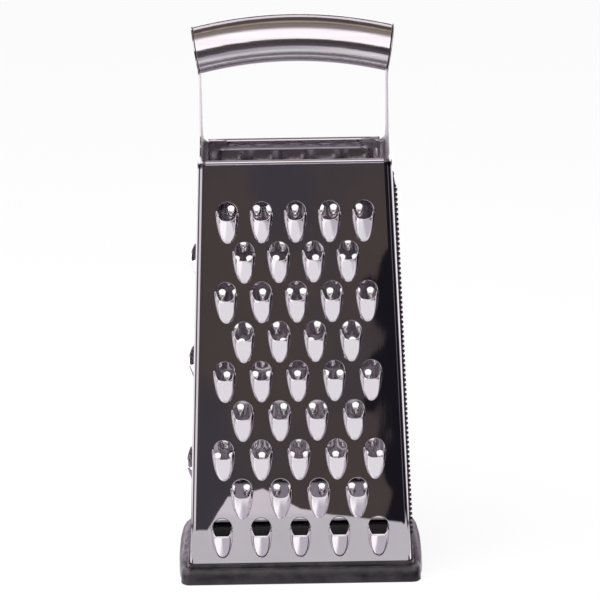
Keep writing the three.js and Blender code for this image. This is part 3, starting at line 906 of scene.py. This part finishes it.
def combined(tree, operation, first, second):
    """Two values combined by one sum."""
    return add_node(tree, "ShaderNodeMath", {0: first, 1: second}, operation=operation).outputs[0]


def absolute(tree, value):
    """The size of a value without its sign."""
    return add_node(tree, "ShaderNodeMath", {0: value}, operation="ABSOLUTE").outputs[0]


def zone(tree, *limits):
    """One where every value is past its limits, nought where one of them falls short, and soft in between."""
    made = 1.0
    for value, (start, end) in limits:
        made = combined(tree, "MULTIPLY", spread(tree, value, 0, 1, start, end), made)
    return made


def blended(tree, share, first, second):
    """A colour that goes from the first to the second; each is a colour or a socket."""
    made = add_node(tree, "ShaderNodeMix", {0: share}, data_type="RGBA")
    for index, tone in ((6, first), (7, second)):
        if isinstance(tone, bpy.types.NodeSocket):
            tree.links.new(tone, made.inputs[index])
        else:
            made.inputs[index].default_value = (*tone, 1)
    return made.outputs[2]


def painted(tree, tone, *layers):
    """A colour painted over by others, each in its own zone."""
    for share, paint in layers:
        tone = blended(tree, share, tone, paint)
    return tone


def attribute(tree, name):
    """A value that the piece keeps for each of its points."""
    return add_node(tree, "ShaderNodeAttribute", attribute_name=name).outputs["Fac"]


def relief(tree, shader, height, strength, distance, under=None):
    """Fine relief on the surface, over another relief where there is one."""
    inputs = {"Height": height, "Strength": strength, "Distance": distance}
    if under:
        inputs["Normal"] = under
    made = add_node(tree, "ShaderNodeBump", inputs).outputs["Normal"]
    tree.links.new(made, shader.inputs["Normal"])
    return made


def faces_inwards(tree, place):
    """One where the surface looks towards the body's upright axis, and otherwise nought."""
    normal = add_node(tree, "ShaderNodeTexCoord").outputs["Normal"]
    level = add_node(tree, "ShaderNodeVectorMath", {0: place, 1: (1, 1, 0)}, operation="MULTIPLY")
    outwards = add_node(tree, "ShaderNodeVectorMath", {0: level.outputs["Vector"], 1: normal},
                        operation="DOT_PRODUCT")
    return combined(tree, "LESS_THAN", outwards.outputs["Value"], 0.0)


def polished_steel(finish):
    """Mirror-polished sheet: faint ripples, fine polishing lines and dull smudges."""
    material, tree, shader, place = new_material("polished_finish")
    smudges = noise(tree, place, scale=55.0, detail=4.0)
    lines = noise(tree, place, scale=900.0, stretch=(1.0, 1.0, 0.06))
    punched = attribute(tree, "punched")
    smudged = [0.92 * part for part in finish.polished]
    tone = blended(tree, spread(tree, smudges, 0, 1), smudged, finish.polished)
    # Painted reflection: the pushed-out teeth get a brighter copy of the steel. Then the torn colour, for the
    # torn spikes and for painted shade in gaps, on rims and in folds
    tone = painted(tree, tone, (punched, finish.teeth_painted_bright), (attribute(tree, "torn_and_shade"), finish.torn_and_shade))
    tree.links.new(tone, shader.inputs["Base Color"])
    drawn = combined(tree, "MULTIPLY", punched, 0.07)
    outside = combined(tree, "ADD", drawn, spread(tree, smudges, low=0.010, high=0.026))
    parts = add_node(tree, "ShaderNodeSeparateXYZ", {"Vector": place}).outputs
    scuffed = zone(tree, (parts["Z"], SCUFF_UP), (absolute(tree, parts["X"]), SCUFF_ASIDE))
    inner = combined(tree, "MULTIPLY", faces_inwards(tree, place), spread(tree, scuffed, 0.05, 0.45, 0, 1))
    tree.links.new(combined(tree, "ADD", inner, outside), shader.inputs["Roughness"])
    ripple = relief(tree, shader, noise(tree, place, scale=42.0, detail=1.0), strength=0.06, distance=0.0012)
    relief(tree, shader, lines, strength=0.02, distance=0.00002, under=ripple)
    shader.inputs["Metallic"].default_value = 1.0
    return material


def brushed_steel(finish):
    """Steel brushed along the grip: long streaks in tone, dullness and relief."""
    material, tree, shader, place = new_material("brushed_finish")
    streaks = noise(tree, place, scale=1300.0, detail=3.0, stretch=(0.015, 1.0, 1.0))
    broad = noise(tree, place, scale=260.0, stretch=(0.03, 1.0, 1.0))
    streaked = [0.86 * part for part in finish.brushed]
    tone = blended(tree, spread(tree, broad, 0, 1), streaked, finish.brushed)
    tree.links.new(tone, shader.inputs["Base Color"])
    tree.links.new(spread(tree, streaks, low=0.09, high=0.17), shader.inputs["Roughness"])
    relief(tree, shader, streaks, strength=0.35, distance=0.00005)
    shader.inputs["Metallic"].default_value = 1.0
    return material


def dark_rubber(finish):
    """Matt rubber: worn patches over a fine moulded grain, and on the flaps a dusty mottle with a painted
    sheen that makes them lighter.
    """
    material, tree, shader, place = new_material("rubber_finish")
    worn = noise(tree, place, scale=160.0, detail=5.0)
    grain = noise(tree, place, scale=620.0, detail=3.0)
    tone = blended(tree, spread(tree, worn, 0, 1, start=0.4), finish.rubber, finish.worn_rubber)
    parts = add_node(tree, "ShaderNodeSeparateXYZ", {"Vector": place}).outputs
    on_flap = zone(tree, (parts["Z"], DUST_AND_SHEEN_UP), (absolute(tree, parts["X"]), DUST_AND_SHEEN_ASIDE))
    # Dust mottle with a painted sheen on the flaps
    dust_and_sheen = combined(tree, "MULTIPLY", on_flap, spread(tree, grain, 0.45, 1, start=0.38, end=0.62))
    tree.links.new(blended(tree, dust_and_sheen, tone, finish.dust_and_sheen_rubber), shader.inputs["Base Color"])
    tree.links.new(spread(tree, worn, low=0.30, high=0.46), shader.inputs["Roughness"])
    relief(tree, shader, grain, strength=0.35, distance=0.00025)
    return material


def finish_named(name):
    """The finish of that name, made once."""
    makers = {"polished_finish": polished_steel, "brushed_finish": brushed_steel,
              "rubber_finish": dark_rubber}
    return bpy.data.materials.get(name) or makers[name](bpy.context.scene.grater_finish)


class GRATER_OT_coarse_face(bpy.types.Operator):
    """Build the front sheet with its coarse teeth"""
    bl_idname = "grater.coarse_face"
    bl_label = "Coarse Face"

    def execute(self, context):
        body = context.scene.grater_body
        sheet = [*coarse_sheet(body, context.scene.grater_coarse), rolled_hem(body)]
        make_piece("coarse_face", turned(sheet, FRONT_TURN), finish_named("polished_finish"), "front_panel",
                   wall=body.fine_sheet, bevel=0.00016,
                   punched=pushed_out(body, wide_face(body), sheet),
                   # Painted shade in the corner gaps beside the hems and on the upper rims of the lowest
                   # holes
                   torn_and_shade=np.maximum(shaded_corner_gaps(body, wide_face(body), sheet),
                                   shaded_hole_rims(body, context.scene.grater_coarse, sheet)))
        return {"FINISHED"}


class GRATER_OT_medium_face(bpy.types.Operator):
    """Build the back sheet with its medium teeth"""
    bl_idname = "grater.medium_face"
    bl_label = "Medium Face"

    def execute(self, context):
        body = context.scene.grater_body
        sheet = [*medium_sheet(body, context.scene.grater_medium), rolled_hem(body)]
        make_piece("medium_face", turned(sheet, BACK_TURN), finish_named("polished_finish"), "back_panel",
                   wall=body.sheet, punched=pushed_out(body, wide_face(body), sheet))
        return {"FINISHED"}


class GRATER_OT_slicing_face(bpy.types.Operator):
    """Build the left sheet with its slicing blades and leg"""
    bl_idname = "grater.slicing_face"
    bl_label = "Slicing Face"

    def execute(self, context):
        body = context.scene.grater_body
        face, lattice, sheet = slicing_sheet(body, context.scene.grater_blade)
        sheet.append(leg(body, context.scene.grater_grip, face, lattice))
        make_piece("slicing_face", turned(sheet, LEFT_TURN), finish_named("polished_finish"), "left_panel",
                   wall=body.sheet, bevel=0.00006, punched=pushed_out(body, face, sheet),
                   # Painted shade on the unlit fold beside the front hem
                   torn_and_shade=folded_back(body, face, sheet, front=1))
        return {"FINISHED"}


class GRATER_OT_fine_face(bpy.types.Operator):
    """Build the right sheet with its fine spikes and leg"""
    bl_idname = "grater.fine_face"
    bl_label = "Fine Face"

    def execute(self, context):
        body = context.scene.grater_body
        face, lattice, sheet = fine_sheet(body, context.scene.grater_spike)
        sheet.append(leg(body, context.scene.grater_grip, face, lattice))
        make_piece("fine_face", turned(sheet, RIGHT_TURN), finish_named("polished_finish"), "right_panel",
                   wall=body.fine_sheet,
                   # Torn spikes, and painted shade on the unlit fold beside the front hem
                   torn_and_shade=np.maximum(pushed_out(body, face, sheet), folded_back(body, face, sheet, front=-1)))
        return {"FINISHED"}


class GRATER_OT_grip(bpy.types.Operator):
    """Build the arched grip"""
    bl_idname = "grater.grip"
    bl_label = "Grip"

    def execute(self, context):
        grip = context.scene.grater_grip
        skin = grip_skin(context.scene.grater_body, grip)
        make_piece("grip", [skin], finish_named("brushed_finish"), "grip_tube",
                   wall=grip.wall, bevel=0.0002)
        return {"FINISHED"}


class GRATER_OT_foot_ring(bpy.types.Operator):
    """Build the rubber ring round the foot"""
    bl_idname = "grater.foot_ring"
    bl_label = "Foot Ring"

    def execute(self, context):
        ring = foot_ring(context.scene.grater_body, context.scene.grater_ring)
        make_piece("foot_ring", [ring], finish_named("rubber_finish"), "base_ring",
                   bevel=0.0004)
        return {"FINISHED"}


def mixed(tree, share, first, second):
    """A shader that goes from the first to the second."""
    made = add_node(tree, "ShaderNodeMixShader", {0: share})
    for index, shader in ((1, first), (2, second)):
        tree.links.new(shader.outputs[0], made.inputs[index])
    return made


def floor_material(studio):
    """White floor with the grater's shadow; in mirrors it is a plate, and open in front of it and close by.

    Where it is open, mirrors show the room below by direction.
    """
    material = bpy.data.materials.new("studio_floor")
    material.use_nodes = True
    tree = material.node_tree
    tree.nodes.clear()
    path = add_node(tree, "ShaderNodeLightPath").outputs
    place = add_node(tree, "ShaderNodeTexCoord").outputs["Object"]
    parts = add_node(tree, "ShaderNodeSeparateXYZ", {"Vector": place}).outputs
    far = combined(tree, "MULTIPLY", parts["Y"], -1.0)
    aside, deep = absolute(tree, parts["X"]), absolute(tree, far)
    edge = far
    for start, end, reach in PLATE_EDGE:
        edge = combined(tree, "SUBTRACT", edge, spread(tree, parts["X"], 0, reach, start, end))
    front, side = studio.plate_front, studio.plate_side
    near, near_side = studio.near, studio.near + NEAR_ASIDE
    open_front = zone(tree, (edge, (front - PLATE_SOFT, front + PLATE_SOFT)))
    open_side = zone(tree, (aside, (side, side + SIDE_SOFT)))
    outside = combined(tree, "MAXIMUM", zone(tree, (deep, FOOT_DEEP)), zone(tree, (aside, FOOT_WIDE)))
    close = zone(tree, (far, (near + NEAR_SOFT, near)), (far, IN_FRONT),
                 (aside, (near_side + NEAR_SOFT, near_side)))
    open_near = combined(tree, "MULTIPLY", close, outside)
    opened = combined(tree, "MAXIMUM", combined(tree, "MAXIMUM", open_front, open_side), open_near)
    tone = painted(tree, studio.plate,
                   (zone(tree, (far, RIM_FAR)), studio.rim),
                   (zone(tree, (far, BEHIND_FAR)), studio.dim),
                   (zone(tree, (far, FAR_PLATE_FAR)), studio.far_plate))
    tone = blended(tree, outside, studio.dim, tone)
    tone = blended(tree, zone(tree, (far, INNER_START), (deep, INNER_END)), tone, studio.inner)
    glow = add_node(tree, "ShaderNodeEmission", {"Color": tone})
    mirrored = mixed(tree, opened, glow, add_node(tree, "ShaderNodeBsdfTransparent"))
    lit = add_node(tree, "ShaderNodeBsdfDiffuse", {"Color": (*studio.lit_floor, 1)})
    white = add_node(tree, "ShaderNodeEmission", {"Color": (1, 1, 1, 1)})
    seen = mixed(tree, combined(tree, "MULTIPLY", path["Is Camera Ray"], WHITE_SHARE), lit, white)
    output = add_node(tree, "ShaderNodeOutputMaterial")
    tree.links.new(mixed(tree, path["Is Glossy Ray"], seen, mirrored).outputs[0], output.inputs["Surface"])
    return material


def studio_world(studio):
    """Room seen by everything but the camera, by direction.

    Above the horizon it is a ceiling with a softbox in front and white behind. From the horizon down it is a
    dark room in front, with a black doorway on the right, white panels left and behind, and a pale ground.
    """
    world = bpy.data.worlds.new("studio")
    world.use_nodes = True
    tree = world.node_tree
    tree.nodes.clear()
    path = add_node(tree, "ShaderNodeLightPath").outputs
    direction = add_node(tree, "ShaderNodeTexCoord").outputs["Generated"]
    parts = add_node(tree, "ShaderNodeSeparateXYZ", {"Vector": direction}).outputs
    right, back, up = parts["X"], parts["Y"], parts["Z"]
    glowing = [studio.softbox * part for part in studio.white]
    aside = combined(tree, "MAXIMUM", absolute(tree, right), LEAST_ASIDE)
    lead = combined(tree, "DIVIDE", combined(tree, "MULTIPLY", back, -1.0), aside)
    above_foot = combined(tree, "MAXIMUM", combined(tree, "ADD", up, DOORWAY_FOOT), 0.0)
    slant = combined(tree, "MULTIPLY", above_foot, DOORWAY_SLANT)
    past_door = combined(tree, "SUBTRACT", right, slant)
    patches = spread(tree, noise(tree, direction, scale=26.0, stretch=(1, 1, 0.5)), 0, 1, start=0.4, end=0.62)
    level = painted(
        tree, blended(tree, patches, studio.dark, studio.cool),
        (zone(tree, (past_door, DOORWAY_RIGHT)), studio.black),
        (zone(tree, (lead, GREY_LINE_START), (lead, GREY_LINE_END), (right, GREY_LINE_RIGHT)),
         studio.grey_line),
        (zone(tree, (up, LOW_ROOM_UP)), studio.low_room),
        (zone(tree, (right, LEFT_PANEL_RIGHT), (lead, LEFT_PANEL_LEAD)), studio.white),
        (zone(tree, (back, SIDE_BACK)), studio.side),
        (zone(tree, (back, BEHIND_BACK)), glowing))
    overhead = painted(
        tree, studio.ceiling,
        (zone(tree, (back, BEAM_BACK)), studio.beam),
        (zone(tree, (up, STRIP_START), (up, STRIP_END), (back, STRIP_BACK)), studio.white),
        (zone(tree, (back, TAN_START), (back, TAN_END), (up, TAN_UP)), studio.tan_line),
        (zone(tree, (right, LEFT_LIGHT_RIGHT), (up, LEFT_LIGHT_UP), (back, LEFT_LIGHT_BACK)), studio.white),
        (zone(tree, (back, HIGH_BACK), (up, HIGH_UP)), glowing),
        (zone(tree, (back, SOFTBOX_BACK), (up, SOFTBOX_UP), (right, SOFTBOX_RIGHT)), glowing))
    ground = blended(tree, zone(tree, (right, GROUND_LEFT)), studio.shade, studio.white)
    room = painted(tree, level, (zone(tree, (up, CEILING_UP)), overhead),
                   (zone(tree, (up, GROUND_UP)), ground))
    shown = blended(tree, path["Is Camera Ray"], room, (1, 1, 1))
    background = add_node(tree, "ShaderNodeBackground", {"Color": shown, "Strength": 1.0})
    output = add_node(tree, "ShaderNodeOutputWorld")
    tree.links.new(background.outputs[0], output.inputs["Surface"])
    return world


def photograph_camera():
    """Camera of the photograph: its axes from yaw, pitch and roll."""
    yaw, pitch, roll = (math.radians(angle) for angle in (CAMERA_YAW, CAMERA_PITCH, CAMERA_ROLL))
    ahead = Vector((math.sin(yaw) * math.cos(pitch), math.cos(yaw) * math.cos(pitch), -math.sin(pitch)))
    level = Vector((math.cos(yaw), -math.sin(yaw), 0))
    upright = level.cross(ahead)
    right = math.cos(roll) * level + math.sin(roll) * upright
    above = math.cos(roll) * upright - math.sin(roll) * level
    data = bpy.data.cameras.new("camera")
    data.sensor_width = SENSOR_WIDTH
    data.sensor_fit = "HORIZONTAL"
    data.lens = CAMERA_FOCAL * SENSOR_WIDTH
    camera = bpy.data.objects.new("camera", data)
    axes = Matrix((right, above, -ahead)).transposed().to_4x4()
    camera.matrix_world = Matrix.Translation(CAMERA_PLACE) @ axes
    return camera


class GRATER_OT_studio(bpy.types.Operator):
    """Build the floor, the room, the lamp and the camera"""
    bl_idname = "grater.studio"
    bl_label = "Studio"

    def execute(self, context):
        scene = context.scene
        studio = scene.grater_studio
        reach = studio.floor_size
        side = np.array([-reach, reach])
        x, y = np.meshgrid(side, side)
        points, quads = surface(np.stack([x, y, 0 * x], axis=-1))
        mesh = bpy.data.meshes.new("floor")
        mesh.from_pydata(points.tolist(), [], quads.tolist())
        mesh.materials.append(floor_material(studio))
        floor = bpy.data.objects.new("floor", mesh)
        scene.collection.objects.link(floor)
        scene.world = studio_world(studio)
        lamp_data = bpy.data.lights.new("lamp", "AREA")
        lamp_data.energy = studio.lamp
        lamp_data.shape = "RECTANGLE"
        lamp_data.size, lamp_data.size_y = LAMP_SIZE
        lamp = bpy.data.objects.new("lamp", lamp_data)
        lamp.location = LAMP_PLACE
        lamp.rotation_euler = (Vector(LAMP_TARGET) - lamp.location).to_track_quat("-Z", "Y").to_euler()
        lamp.visible_glossy = False
        scene.collection.objects.link(lamp)
        camera = photograph_camera()
        scene.collection.objects.link(camera)
        scene.camera = camera
        scene.view_settings.view_transform = "Standard"
        return {"FINISHED"}


class GRATER_PT_panel(bpy.types.Panel):
    """The grater's pieces and its studio"""
    bl_label = "Box Grater"
    bl_idname = "GRATER_PT_panel"
    bl_space_type = "VIEW_3D"
    bl_region_type = "UI"
    bl_category = "Grater"

    def draw(self, context):
        for piece in PIECES:
            self.layout.operator(piece.bl_idname)


SIZES = {
    "grater_body": GRATER_PG_body,
    "grater_coarse": GRATER_PG_coarse,
    "grater_medium": GRATER_PG_medium,
    "grater_blade": GRATER_PG_blade,
    "grater_spike": GRATER_PG_spike,
    "grater_grip": GRATER_PG_grip,
    "grater_ring": GRATER_PG_ring,
    "grater_finish": GRATER_PG_finish,
    "grater_studio": GRATER_PG_studio,
}
PIECES = (
    GRATER_OT_coarse_face,
    GRATER_OT_fine_face,
    GRATER_OT_medium_face,
    GRATER_OT_slicing_face,
    GRATER_OT_grip,
    GRATER_OT_foot_ring,
    GRATER_OT_studio,
)


def register():
    """Adds the sizes to the scene and registers the operators and the panel."""
    for group in SIZES.values():
        bpy.utils.register_class(group)
    for name, group in SIZES.items():
        setattr(bpy.types.Scene, name, PointerProperty(type=group))
    for piece in PIECES:
        bpy.utils.register_class(piece)
    bpy.utils.register_class(GRATER_PT_panel)


def unregister():
    """Takes away what register adds."""
    bpy.utils.unregister_class(GRATER_PT_panel)
    for piece in reversed(PIECES):
        bpy.utils.unregister_class(piece)
    for name, group in SIZES.items():
        delattr(bpy.types.Scene, name)
        bpy.utils.unregister_class(group)


def main():
    """Builds all pieces and the studio."""
    register()
    bpy.ops.grater.coarse_face()
    bpy.ops.grater.fine_face()
    bpy.ops.grater.medium_face()
    bpy.ops.grater.slicing_face()
    bpy.ops.grater.grip()
    bpy.ops.grater.foot_ring()
    bpy.ops.grater.studio()


if __name__ == "__main__":
    main()
